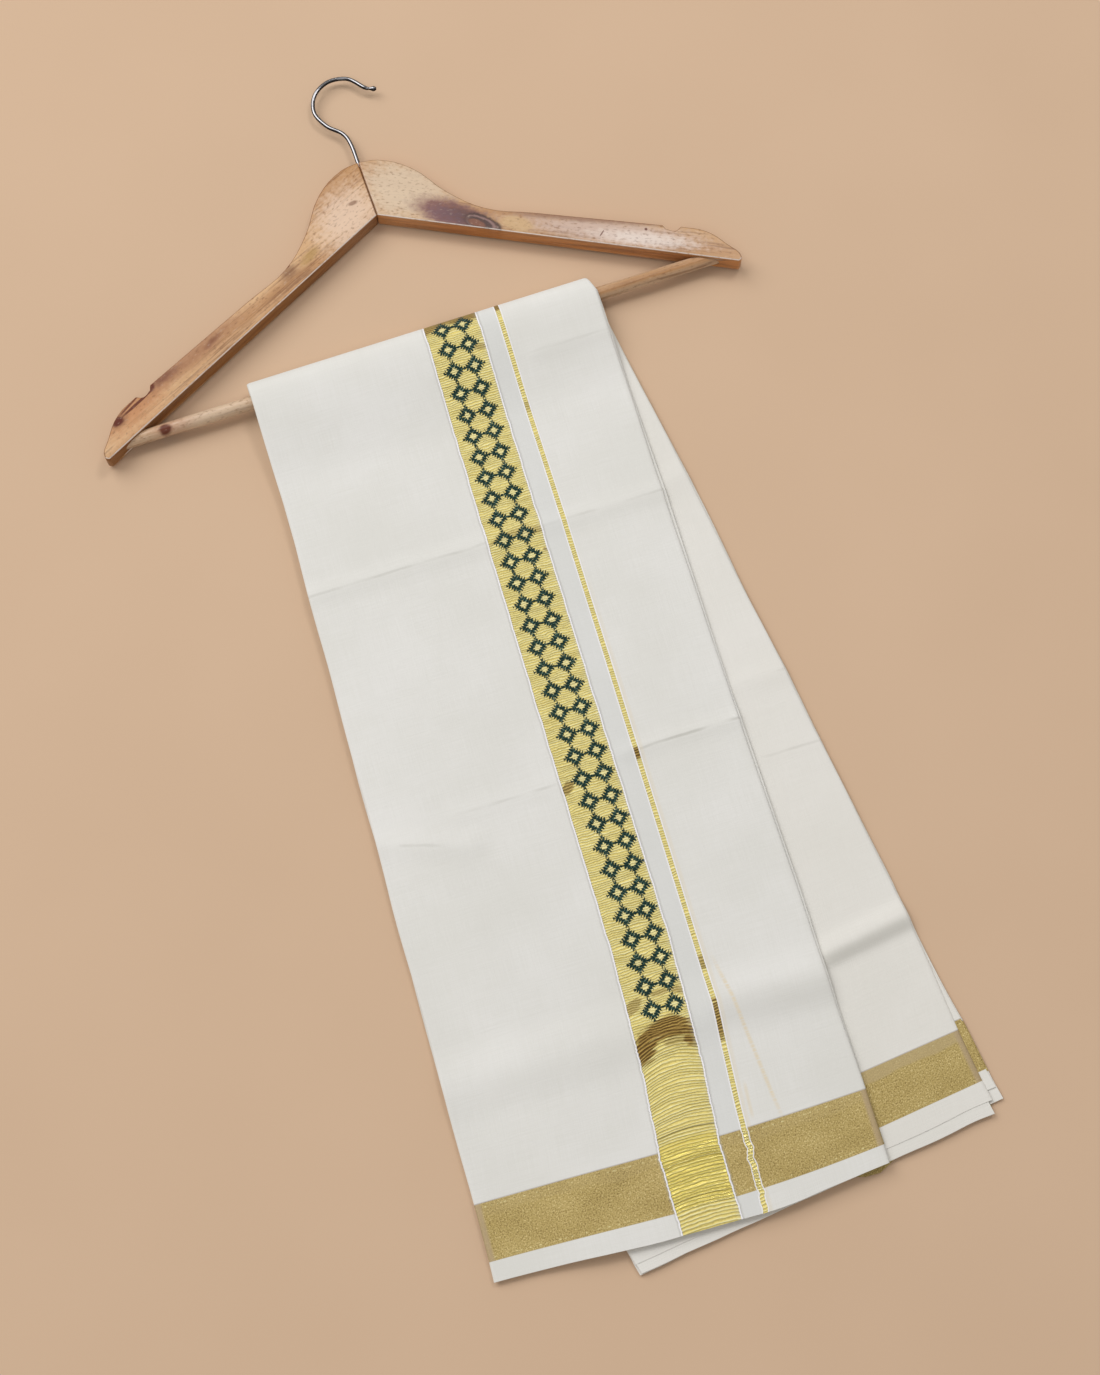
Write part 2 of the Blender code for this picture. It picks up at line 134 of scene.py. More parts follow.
# Middle lines of the wide gold band, the narrow gold line and the pairs of motifs.
BAND_TRACK = (
    Track(-0.04, 0.023), Track(-0.002, 0.0212), Track(0.131, 0.0149), Track(0.253, 0.0089),
    Track(0.341, 0.0049), Track(0.426, 0.0009), Track(0.5, -0.006), Track(0.535, -0.0107),
    Track(0.552, -0.0135), Track(0.57, -0.0145), Track(0.587, -0.0156), Track(0.601, -0.0169),
)
LINE_TRACK = (
    Track(-0.04, 0.056), Track(-0.002, 0.0542), Track(0.132, 0.0489), Track(0.254, 0.0431),
    Track(0.371, 0.0371), Track(0.473, 0.0318), Track(0.536, 0.0234), Track(0.571, 0.02),
    Track(0.603, 0.0165),
)
MOTIF_TRACK = (
    Track(-0.04, 0.0235), Track(-0.005, 0.0217), Track(0.056, 0.0188), Track(0.116, 0.0156),
    Track(0.177, 0.0122), Track(0.239, 0.0101), Track(0.3, 0.0093), Track(0.36, 0.0076),
    Track(0.423, 0.0037), Track(0.48, 0.0002), Track(0.603, -0.01),
)
MOTIF_FIRST = -0.0053  # along the cloth, of the first row of motifs that shows
MOTIF_PITCH = 0.01524
MOTIF_COLUMN = 0.01443
MOTIF_ROWS = 32
DIAMOND_ACROSS, DIAMOND_ALONG = 7.0, 6.7  # half sizes in mm, from tip to middle
STITCHES = 2.7  # half the stitches along one side of a diamond

Leaf = namedtuple("Leaf", "place left_out right_out hem_left hem_right slip border_up tongue",
                  defaults=(0.0, 0.0, 0.0))
# How far each pair of hidden plies, from the lowest one up, stands out past the ply that shows,
# at its left and right edges and the ends of its hem. Slip is how much more a right edge comes
# out by the border, border_up how far the leaf's gold border lies above the one that shows, and
# tongue how far a short stretch of its hem hangs out.
FRONT_LEAVES = (
    Leaf("lowest", -0.0006, 0.0006, -0.003, -0.003),
    Leaf("second", -0.0003, 0.0012, -0.0014, -0.0016),
    Leaf("third", -0.0013, -0.0006, -0.002, -0.0022),
    Leaf("top", -0.0026, -0.0022, -0.0006, -0.0008),
)
BACK_LEAVES = (
    Leaf("lowest", -0.0012, -0.0016, 0.004, 0.003, 0.0, -0.031, 0.0078),
    Leaf("second", -0.0004, 0.0006, 0.0072, 0.0012, 0.0058, 0.0045, 0.0),
    Leaf("third", -0.0022, -0.0008, -0.007, -0.007, 0.006, 0.006, 0.0),
    Leaf("top", -0.0016, -0.002, 0.0062, 0.008),
)
SLIP_FROM, SLIP_TO, SLIP_CURVE = 0.462, 0.548, 1.6  # along the cloth, and how late it comes
TONGUE_X, TONGUE_HALF = 0.0890, 0.0260  # middle and half width
CORNER_CUT, CORNER_RUN = 0.0018, 0.009  # the back half's lower left corner, turned in


# ---- small tools
def smooth(share):
    """0 below 0 and 1 above 1, with an even curve between them."""
    share = min(max(share, 0.0), 1.0)
    return share * share * (3 - 2 * share)


def track_x(track, along):
    """X of a middle line at a distance along the cloth."""
    for point, following in zip(track, track[1:]):
        if along <= following.along or following is track[-1]:
            share = (along - point.along) / (following.along - point.along)
            return point.x + (following.x - point.x) * share


def section_at(sections, along):
    """Left end, right end and bow of the section at a distance along the cloth."""
    for section, following in zip(sections, sections[1:]):
        if along <= following.along or following is sections[-1]:
            share = (along - section.along) / (following.along - section.along)
            return [a + (b - a) * share for a, b in zip(section[2:], following[2:])]


def back_left(y):
    """X of the back half's left edge, which the front half hides."""
    top, foot = BACK_SECTIONS[0], BACK_SECTIONS[-1]
    share = (y - top.left_y) / (foot.left_y - top.left_y)
    return top.left_x + (foot.left_x - top.left_x) * share


def front_underside(x, y):
    """The front half lies on the back half, sags to the surface beside it, and rises to
    pass over the rod."""
    beside = smooth((back_left(y) - SAG_START - x) / SAG_RUN)
    lying = (HALF + REST_GAP) * (1 - beside)
    over_rod = 1 - smooth(-y / DRAPE_RUN)
    return lying + (ROD_HEIGHT + ROD_RADIUS + GAP - lying) * over_rod


def back_underside(x, y):
    """The back half lies flat on the surface."""
    return 0.0


def creased(creases, x, y):
    """How far the pressed creases lift or sink the cloth at x, y."""
    lift = 0.0
    for crease in creases:
        run = Vector((crease.to_x - crease.from_x, crease.to_y - crease.from_y))
        point = Vector((x - crease.from_x, y - crease.from_y))
        along = point.dot(run) / run.length_squared
        across = abs(run.x * point.y - run.y * point.x) / run.length
        if across >= crease.half_width:
            continue
        inside = smooth(min(along, 1 - along) * run.length / crease.half_width + 0.5)
        soft = 1 - smooth(across / crease.half_width)
        line = max(0.0, 1 - across / (crease.half_width * LINE_SHARE))
        lift += crease.height * inside * (soft * (1 - crease.sharp) + line * crease.sharp)
    return lift


def ripple(x, y, seed):
    """Slow unevenness of cloth that lies flat."""
    wide = 1 + noise.noise(Vector((x * 9, y * 6, seed)))
    small = 1 + noise.noise(Vector((x * 34, y * 26, seed + 7)))
    return RIPPLE_WIDE * wide + RIPPLE_SMALL * small


# ---- cloth as meshes
Row = namedtuple("Row", "along turn")
# A row across the cloth: on the flat, or round the fold at a turn from the crest.


def strip_rows(end, count, folded):
    """Rows from the hem up to the crest and, where the strip is folded, round to the
    surface."""
    rows = [Row(end * (1 - step / count), None) for step in range(count)] + [Row(0.0, 0.0)]
    if folded:
        reach = ROD_RADIUS + GAP + HALF
        length, before = 0.0, Vector((0.0, reach))
        for step in range(1, FOLD_ROWS + 1):
            turn = pi * step / FOLD_ROWS
            point = Vector(((reach + FOLD_SLACK) * sin(turn), reach * cos(turn)))
            length += (point - before).length
            before = point
            rows.append(Row(-length, turn))
    return rows


def put_strip(strip):
    """Lays one grid of cloth for each of a strip's leaves."""
    end = strip.sections[-1].along
    rows = strip_rows(end, strip.rows, strip.sections is FRONT_SECTIONS)
    bm = bmesh.new()
    layers = {key: bm.loops.layers.uv.new(key) for key in ("band", "motif", "side")}
    for number, leaf in enumerate(strip.leaves):
        top = HALF if leaf is FLUSH else (number + 1) * LEAF_PITCH
        made = bmesh.ops.create_grid(bm, x_segments=strip.columns, y_segments=len(rows) - 1,
                                     size=0.5)["verts"]
        patterns = {}
        for vertex in made:
            across = spread(vertex.co.x + 0.5)
            row = rows[round((vertex.co.y + 0.5) * (len(rows) - 1))]
            vertex.co, patterns[vertex] = strip_point(strip, row, across, leaf, top)
        for face in {face for vertex in made for face in vertex.link_faces}:
            for loop in face.loops:
                for key, value in patterns[loop.vert].items():
                    loop[layers[key]].uv = value
    mesh = bpy.data.meshes.new(strip.name)
    bm.to_mesh(mesh)
    bm.free()
    mesh.shade_smooth()
    made = piece(strip.name, mesh)
    thicken(made, strip.thickness, strip.rounding)
    return made


def spread(share):
    """Draws a strip's columns closer together towards its two sides."""
    return share - COLUMNS_CLOSER * sin(2 * pi * share)


def edge_roll(from_side):
    """How far the ply that shows has turned down over the plies below it, near a side."""
    left = 1 - min(from_side / EDGE_ROLL_RUN, 1.0)
    return EDGE_ROLL * (1 - (1 - left ** 2) ** 0.5)


def strip_point(strip, row, across, leaf, height):
    """One point of a leaf whose top is at a height above the strip's underside, and its places
    in the woven patterns, in millimetres and rows."""
    sections, seed = strip.sections, strip.seed
    left_x, left_y, right_x, right_y, bow = section_at(sections, max(row.along, 0.0))
    x = left_x + (right_x - left_x) * across
    y = left_y + (right_y - left_y) * across - bow * sin(pi * across ** BOW_SKEW)
    width = right_x - left_x
    x -= leaf.left_out * (1 - smooth(across * width / EDGE_RUN))
    slipped = min(max((row.along - SLIP_FROM) / (SLIP_TO - SLIP_FROM), 0.0), 1.0)
    right_out = leaf.right_out + leaf.slip * slipped ** SLIP_CURVE
    x += right_out * (1 - smooth((1 - across) * width / EDGE_RUN))
    own = height * 900  # each leaf has edge waves of its own
    x += EDGE_WAVE * noise.noise(Vector((row.along * 15, across * 2, seed + own)))
    from_side = min(across, 1 - across) * width
    roll = edge_roll(from_side) if leaf is FLUSH else 0.0
    along = row.along
    if row.turn is None:
        near_hem = smooth((row.along - (sections[-1].along - EDGE_RUN)) / EDGE_RUN)
        out = leaf.hem_left + (leaf.hem_right - leaf.hem_left) * across
        out += leaf.tongue * (1 - smooth(abs(x - TONGUE_X) / TONGUE_HALF))
        out += EDGE_WAVE * noise.noise(Vector((across * 8, seed + 3, own)))
        y -= out * near_hem
        along += out * near_hem
        if sections is BACK_SECTIONS:
            x += CORNER_CUT * near_hem ** 8 * (1 - smooth(across * width / CORNER_RUN))
        over_rod = 1 - smooth(-y / DRAPE_RUN)
        lift = ((ripple(x, y, seed) + creased(strip.creases, x, y))
                * (1 - OVER_ROD_FLATTER * over_rod))
        point = Vector((x, y, strip.underside(x, y) + height + lift - roll))
    else:
        x -= FOLD_ROUND * sin(row.turn) * smooth(
            (across * width - FOLD_ROUND_FROM) / FOLD_ROUND_RUN)
        reach = ROD_RADIUS + GAP + height - roll
        point = Vector((x, (reach + FOLD_SLACK) * sin(row.turn),
                        ROD_HEIGHT + reach * cos(row.turn)))
    patterns = {
        "band": ((x - track_x(BAND_TRACK, along)) / MM, (along + leaf.border_up) / MM),
        "motif": ((x - track_x(MOTIF_TRACK, along)) / MOTIF_COLUMN,
                  (along - MOTIF_FIRST) / MOTIF_PITCH),
        "side": ((x - track_x(LINE_TRACK, along)) / MM, from_side / MM),
    }
    return point + ROD_PLACE, patterns


def piece(name, data):
    """An object in the scene for a mesh, curve, lamp or camera."""
    made = bpy.data.objects.new(name, data)
    bpy.context.scene.collection.objects.link(made)
    return made


def thicken(made, thickness, rounding):
    """Gives a sheet its thickness downwards, and rounds its rim."""
    wall = made.modifiers.new("thickness", "SOLIDIFY")
    wall.thickness, wall.offset = thickness, -1
    rim = made.modifiers.new("rim", "BEVEL")
    rim.width, rim.segments = rounding, 2
    rim.limit_method, rim.angle_limit = "ANGLE", radians(60)
    rim.harden_normals = True


FLUSH = Leaf("face", 0.0, 0.0, 0.0, 0.0)
PLY_ROUND, LEAF_ROUND = 0.00010, 0.00028  # of a rim
Strip = namedtuple("Strip", "name sections leaves underside creases seed rows columns"
                            " thickness rounding")
STRIPS = (
    Strip("front_sheet", FRONT_SECTIONS, (FLUSH,), front_underside, FRONT_CREASES,
          1.0, 210, 104, PLY, PLY_ROUND),
    Strip("front_plies", FRONT_SECTIONS, FRONT_LEAVES, front_underside, FRONT_CREASES,
          1.0, 84, 44, LEAF, LEAF_ROUND),
    Strip("back_sheet", BACK_SECTIONS, (FLUSH,), back_underside, BACK_CREASES,
          4.0, 200, 96, PLY, PLY_ROUND),
    Strip("back_plies", BACK_SECTIONS, BACK_LEAVES, back_underside, BACK_CREASES,
          4.0, 96, 44, LEAF, LEAF_ROUND),
)


# ---- shader tools
def colour(red, green, blue):
    """A display colour, 0 to 255, as a shader colour."""
    return (*((part / 255 / 12.92) if part < 10.3 else ((part / 255 + 0.055) / 1.055) ** 2.4
              for part in (red, green, blue)), 1.0)


def as_node(operation, swapped=False):
    """A Python operator that makes a maths node. Swapped puts its own value second."""
    def make(value, *other):
        values = (*other, value) if swapped else (value, *other)
        return value.finish.maths(operation, *values)
    return make


class Value:
    """A shader value that Python's operators work on."""

    def __init__(self, finish, socket):
        self.finish, self.socket = finish, socket

    __add__ = __radd__ = as_node("ADD")
    __mul__ = __rmul__ = as_node("MULTIPLY")
    __sub__, __rsub__ = as_node("SUBTRACT"), as_node("SUBTRACT", swapped=True)
    __truediv__, __pow__, __abs__ = as_node("DIVIDE"), as_node("POWER"), as_node("ABSOLUTE")


class Finish:
    """A material and the nodes that make it up."""

    def __init__(self, name):
        self.material = bpy.data.materials.new(name)
        self.material.use_nodes = True
        self.tree = self.material.node_tree
        self.shader = self.tree.nodes["Principled BSDF"]

    def node(self, kind, settings, inputs, output=0):
        """Adds a node, with its settings and then its sockets' values or links."""
        made = self.tree.nodes.new(kind)
        for name, value in settings.items():
            setattr(made, name, value)
        pairs = inputs.items() if isinstance(inputs, dict) else enumerate(inputs)
        for key, value in pairs:
            self.put(made.inputs[key], value)
        return Value(self, made.outputs[output])

    def put(self, socket, value):
        """Links a socket to a shader value, or sets it."""
        if isinstance(value, Value):
            self.tree.links.new(value.socket, socket)
        else:
            socket.default_value = value

    def set(self, sockets):
        """Sets the shader's own sockets."""
        for name, value in sockets.items():
            self.put(self.shader.inputs[name], value)

    def maths(self, operation, *values):
        """One sum of shader values and numbers."""
        return self.node("ShaderNodeMath", {"operation": operation}, values)

    def smooth(self, value, low, high):
        """0 at low and 1 at high, with an even curve between them."""
        return self.node("ShaderNodeMapRange", {"interpolation_type": "SMOOTHSTEP"},
                         {"Value": value, "From Min": low, "From Max": high})

    def within(self, value, low, high, soft):
        """1 between low and high, with soft ends."""
        return (self.smooth(value, low - soft, low + soft)
                * (1 - self.smooth(value, high - soft, high + soft)))

    def mix(self, factor, first, second):
        """From the first colour to the second."""
        return self.node("ShaderNodeMix", {"data_type": "RGBA"},
                         {0: factor, 6: first, 7: second}, 2)

    def vector(self, x, y, z=0.0):
        """Three values as one vector."""
        return self.node("ShaderNodeCombineXYZ", {}, (x, y, z))

    def noise(self, vector, scale, detail):
        """Noise round 0, about 0.3 to each side."""
        return self.node("ShaderNodeTexNoise", {},
                         {"Vector": vector, "Scale": scale, "Detail": detail}) - 0.5

    def parts(self, vector):
        """A vector's x, y and z."""
        made = self.tree.nodes.new("ShaderNodeSeparateXYZ")
        self.put(made.inputs[0], vector)
        return [Value(self, output) for output in made.outputs]

    def normal(self):
        """The x, y and z of the way that the surface faces."""
        return self.parts(self.node("ShaderNodeNewGeometry", {}, (), "Normal"))

    def uv(self, name):
        """The two values of a UV map."""
        return self.parts(self.node("ShaderNodeUVMap", {"uv_map": name}, ()))[:2]

    def place(self, location=(0, 0, 0), rotation=(0, 0, 0), scale=(1, 1, 1)):
        """Object coordinates, moved, turned and scaled."""
        made = self.node("ShaderNodeTexCoord", {}, (), "Object")
        return self.node("ShaderNodeMapping", {"vector_type": "TEXTURE"},
                         {"Vector": made, "Location": location, "Rotation": rotation,
                          "Scale": scale})

    def bump(self, height):
        """Puts a relief, in millimetres, into the shader's normal."""
        made = self.node("ShaderNodeBump", {},
                         {"Strength": 1.0, "Distance": MM, "Height": height})
        self.put(self.shader.inputs["Normal"], made)


# ---- cloth finishes
# Places in the weave are in millimetres: along the cloth from the crest, or across a band.
BORDER_TOP, BORDER_FOOT = 548.5, 583.0
BAND_HALF, LINE_HALF = 18.0, 1.5  # half widths of the wide band and the narrow line
BARE_END = 34.0  # where the bluer cotton beside the band ends
MOTIFS_FADE, MOTIFS_END = 476.0, 486.0  # the ribs grow coarse between these
STRAIGHTER_FROM, STRAIGHTER_TO = 492.0, 560.0
DEEP_FROM, DEEP_TO, SEAM = 544.0, 582.0, 539.0
FINE_PITCH, COARSE_PITCH, LINE_PITCH = 1.55, 1.8, 1.7
THREAD_TURNS = 15.0  # of the weave's waves, in radians a millimetre
ROUGH = {"cotton": 0.92, "border": 0.42, "gold": 0.34}  # the last two are taken off it
COTTON_GLOSS = {"Sheen Weight": 0.12, "Sheen Roughness": 0.4, "Specular IOR Level": 0.3}

COTTON = colour(237, 236, 232)
COTTON_SHADE = colour(229, 228, 222)
COTTON_WARM = colour(238, 233, 223)
COTTON_COOL = colour(214, 217, 217)
# painted shade, laid along the creases and beside the band's cords
CREASE_SHADE = colour(172, 170, 160)
PEACH = colour(232, 212, 172)
BORDER_GOLD = colour(190, 167, 103)
BORDER_LIGHT = colour(224, 204, 146)
BORDER_DARK = colour(140, 118, 66)
BORDER_WORN = colour(192, 172, 128)
BORDER_LIP = colour(150, 138, 134)
ZARI = colour(240, 222, 134)
# ZARI_LIGHT and ZARI_DARK also give the ribs their painted highlights and shade lines
ZARI_LIGHT = colour(255, 248, 190)
ZARI_DARK = colour(168, 142, 62)
ZARI_DEEP = colour(244, 222, 96)
ZARI_LINE = colour(112, 92, 30)
ZARI_BROWN = colour(104, 74, 26)
ZARI_RUST_AND_SHADE = colour(192, 160, 84)
THREAD = colour(20, 50, 44)
THREAD_SHEEN = colour(104, 136, 120)
# painted shade of the turned-down sides, on gold that is duller there too
EDGE_DULL_AND_SHADE = colour(186, 164, 130)
CORD = colour(252, 250, 252)


def cotton_base(finish, across, along, warmth, creases):
    """The plain weave and its pressed lines: its colour, and its relief in millimetres."""
    weft = finish.noise(finish.vector(across * 0.035, along * 1.5), 1.0, 2)
    warp = finish.noise(finish.vector(across * 1.5, along * 0.035), 1.0, 2)
    slubs = weft + warp
    cloudy = finish.noise(finish.vector(across, along), 0.012, 3)
    shade = finish.smooth(cloudy + slubs * 0.35, -0.22, 0.30)
    tint = finish.mix(shade, COTTON_SHADE, COTTON)
    tint = finish.mix(warmth, tint, COTTON_WARM)
    pressed, wear_and_shade = pressed_lines(finish, creases)
    # painted shade: the creases' lines and the bands beside them are greyed in
    tint = finish.mix(pressed * 0.95 + wear_and_shade * 0.36, tint, CREASE_SHADE)
    threads = (finish.maths("SINE", across * THREAD_TURNS)
               + finish.maths("SINE", along * THREAD_TURNS))
    return tint, threads * 0.012 + slubs * 0.10 - pressed * 0.25


def pressed_lines(finish, creases):
    """The creases' sharp lines, drawn as painted shadow lines, and the painted shade beside
    them, each 0 to 1.
    """
    lines, wear_and_shade = 0.0, 0.0
    if creases:
        flat = finish.place(scale=(MM, MM, MM))
        sway = finish.noise(flat, 0.05, 2) * 2.4
        uneven = finish.smooth(finish.noise(flat, 0.035, 1), -0.14, 0.10)
    for crease in creases:
        run = Vector((crease.to_x - crease.from_x, crease.to_y - crease.from_y))
        middle = ((crease.from_x + crease.to_x) / 2, (crease.from_y + crease.to_y) / 2
                  + ROD_PLACE.y, 0.0)
        end, half = run.length / MM / 2, crease.half_width / MM
        if crease.sharp or crease.shade:
            along, across, _ = finish.parts(finish.place(
                middle, (0, 0, run.angle_signed(Vector((1, 0)))), (MM, MM, MM)))
            inside = 1 - finish.smooth(abs(along), end - 16, end)
        if crease.sharp:
            lines = lines + (1 - finish.smooth(abs(across + sway), 0.2, 1.5)) * (
                inside * crease.sharp) * uneven
        if crease.shade:
            wear_and_shade = wear_and_shade + (1 - finish.smooth(abs(across + sway * 0.6), half * 0.1, half)) * (
                inside * crease.shade)
    return lines, wear_and_shade


def border(finish, across, along, tint, height, from_side, wear_and_shade, shows):
    """Lays the matt gold border over a cloth's colour and relief, and returns them with its
    mask. Wear_and_shade here is only how faded its top edge is, and shows is 0 on hidden
    plies, which get no painted shade at their sides."""
    mask = finish.within(along, BORDER_TOP, BORDER_FOOT, 0.25)
    speckle = (finish.noise(finish.vector(across, along), 1.1, 2)
               + finish.noise(finish.vector(across, along, 9.0), 2.4, 1) * 0.6)
    cloudy = finish.noise(finish.vector(across, along * 1.6), 0.035, 1)
    level = speckle + cloudy * 0.22
    gold = finish.mix(finish.smooth(level, -0.26, 0.02), BORDER_DARK, BORDER_GOLD)
    gold = finish.mix(finish.smooth(level, 0.04, 0.26), gold, BORDER_LIGHT)
    ticks = finish.smooth(finish.noise(finish.vector(across, along * 0.2), 0.5, 1), 0.0, 0.15)
    dashes = ticks * (finish.within(along, BORDER_TOP + 2.3, BORDER_TOP + 2.9, 0.3)
                      + finish.within(along, BORDER_FOOT - 2.4, BORDER_FOOT - 1.9, 0.3))
    gold = finish.mix(dashes * 0.6, gold, ZARI_LIGHT)
    top = finish.within(along + cloudy * 8.0, BORDER_TOP - 2.0, BORDER_TOP + 7.5, 1.2)
    gold = finish.mix(top * wear_and_shade, gold, BORDER_WORN)
    # painted shade: the gold darkens where the ply turns down at its sides, and is duller there
    # too
    dull_and_shade = 1 - finish.smooth(from_side, 2.6, 5.0)
    gold = finish.mix(dull_and_shade * 0.8 * shows, gold, EDGE_DULL_AND_SHADE)
    lip = finish.within(along, BORDER_TOP - 0.5, BORDER_TOP + 0.1, 0.3)
    tint = finish.mix(mask, tint, gold)
    tint = finish.mix(lip * 0.5, tint, BORDER_LIP)
    return tint, height + mask * (0.05 + speckle * 0.16), mask


def plain_cloth(name, warmth, creases=(), wear_and_shade=0.0, shows=0.0):
    """Cotton with the gold border near its hem."""
    finish = Finish(name)
    across, along = finish.uv("band")
    _, from_side = finish.uv("side")
    tint, height = cotton_base(finish, across, along, warmth, creases)
    tint, height, gold = border(finish, across, along, tint, height, from_side, wear_and_shade, shows)
    finish.set({"Base Color": tint, "Roughness": ROUGH["cotton"] - gold * ROUGH["border"],
                "Metallic": gold * 0.25, **COTTON_GLOSS})
    finish.bump(height)
    return finish.material


TarnishAndShade = namedtuple("TarnishAndShade", "place across along half_across half_along strength")
# Where the gold thread of the wide band has turned brown, from its middle line and along. The
# spots at the fold and under the upper crease are painted shade, not tarnish.
BAND_TARNISH_AND_SHADE = (
    # painted shade: the gold darkens where it rolls over the fold
    TarnishAndShade("fold", 0.0, -15.0, 60.0, 7.0, 0.8),
    TarnishAndShade("foot of the motifs", 0.0, 479.5, 24.0, 6.5, 1.0),
    TarnishAndShade("foot of the motifs, left", -15.0, 486.0, 9.0, 8.0, 0.9),
    TarnishAndShade("foot of the motifs, glints", 8.0, 487.5, 10.0, 4.5, 0.5),
    TarnishAndShade("foot of the motifs, right", 16.0, 488.0, 5.0, 4.5, 0.6),
    TarnishAndShade("between the last motifs, left", -14.5, 458.5, 6.5, 4.0, 0.55),
    TarnishAndShade("between the last motifs", 4.0, 457.5, 6.0, 2.2, 0.5),
    TarnishAndShade("between the last motifs, right", 15.5, 457.0, 4.5, 2.6, 0.55),
    TarnishAndShade("left edge, half way", -15.0, 315.0, 4.5, 4.0, 0.7),
    # painted shade along the upper crease
    TarnishAndShade("under the upper crease", 4.0, 144.0, 26.0, 3.2, 0.45),
    TarnishAndShade("right edge, high", 17.0, 158.0, 2.2, 2.0, 0.6),
    TarnishAndShade("below the fold, right", 14.0, 12.0, 6.0, 2.5, 0.5),
)
LINE_TARNISH_AND_SHADE = (
    # painted shade: the line darkens where it rolls over the fold
    TarnishAndShade("fold", 0.0, -14.0, 20.0, 7.0, 0.9),
    TarnishAndShade("upper", 0.0, 62.0, 9.0, 4.0, 0.4),
    TarnishAndShade("middle", 0.0, 309.0, 9.0, 4.0, 0.9),
    TarnishAndShade("low", 0.0, 483.0, 9.0, 13.0, 0.8),
    TarnishAndShade("low, above", 0.0, 447.0, 9.0, 4.0, 0.6),
)


def tarnish_and_shade(finish, spots, across, along):
    """How brown the gold is, 0 to 1, from tarnish and from painted shade. It spreads along the
    ribs.
    """
    wander = (finish.noise(finish.vector(across * 0.16, along), 0.30, 3)
              + finish.noise(finish.vector(across * 0.07, along), 0.62, 1) * 1.3)
    brown = 0.0
    for spot in spots:
        reach = (((across - spot.across) / spot.half_across) ** 2
                 + ((along - spot.along) / spot.half_along) ** 2 + wander * 1.8)
        brown = brown + (1 - finish.smooth(reach, 0.5, 1.3)) * spot.strength
    return finish.smooth(brown, 0.0, 1.0)


def arched(finish, across, along):
    """Distance along the cloth to the rib that passes a point. The ribs arch to the fold, and
    straighten out towards the hem."""
    rise = 4.4 - finish.smooth(along, STRAIGHTER_FROM, STRAIGHTER_TO) * 3.3
    return along - ((across - 2.0) / (BAND_HALF + 1)) ** 2 * rise


def ribbed_gold(finish, across, along, brown, pitch):
    """Bright gold thread laid in wavy ribs across a band, with painted highlights and painted
    shade lines along the ribs. Returns its colour and relief.
    """
    sway = (finish.noise(finish.vector(across * 0.24, along * 0.20), 1.0, 2) * 1.5
            + finish.noise(finish.vector(across * 0.05, along * 0.10), 1.0, 1) * 3.0)
    ribs = finish.maths("SINE", (along + sway) * (2 * pi / pitch))
    streaks = finish.noise(finish.vector(across * 0.05, along + sway * 0.6), 0.7, 3)
    glint = finish.noise(finish.vector(across * 1.1, along * 2.4), 1.0, 2)
    # painted highlights and shade: the ribs and glints lighten or darken the gold, along with
    # the thread's own streaks
    level = ribs * 0.42 + streaks * 0.9 + glint * 0.7
    gold = finish.mix(finish.smooth(level, -0.85, -0.22), ZARI_DARK, ZARI)
    gold = finish.mix(finish.smooth(level, 0.00, 0.55), gold, ZARI_LIGHT)
    # brown ribs, from tarnish and from the painted shade at the fold and the upper crease
    rust_and_shade = finish.mix(finish.smooth(level, -0.35, 0.50), ZARI_BROWN, ZARI_RUST_AND_SHADE)
    return finish.mix(brown, gold, rust_and_shade), ribs * 0.22 + streaks * 0.25 + glint * 0.08


def hem_gold(finish, rib, gold):
    """Turns the ribs deeper where the band crosses the border, and lays dark lines between
    some of them."""
    zone = finish.within(rib, DEEP_FROM, DEEP_TO, 2.0)
    lines = finish.noise(finish.vector(0.0, rib), 0.62, 2)
    lines = lines + finish.noise(finish.vector(2.0, rib), 0.11, 1) * 0.5
    dark = finish.smooth(lines, 0.10, 0.22)
    gold = finish.mix(zone * 0.50, gold, ZARI_DEEP)
    gold = finish.mix(dark * (0.12 + zone * 0.34), gold, ZARI_LINE)
    seam = 1 - finish.smooth(abs(rib - SEAM), 0.2, 0.9)
    return finish.mix(seam * 0.55, gold, ZARI_LINE)


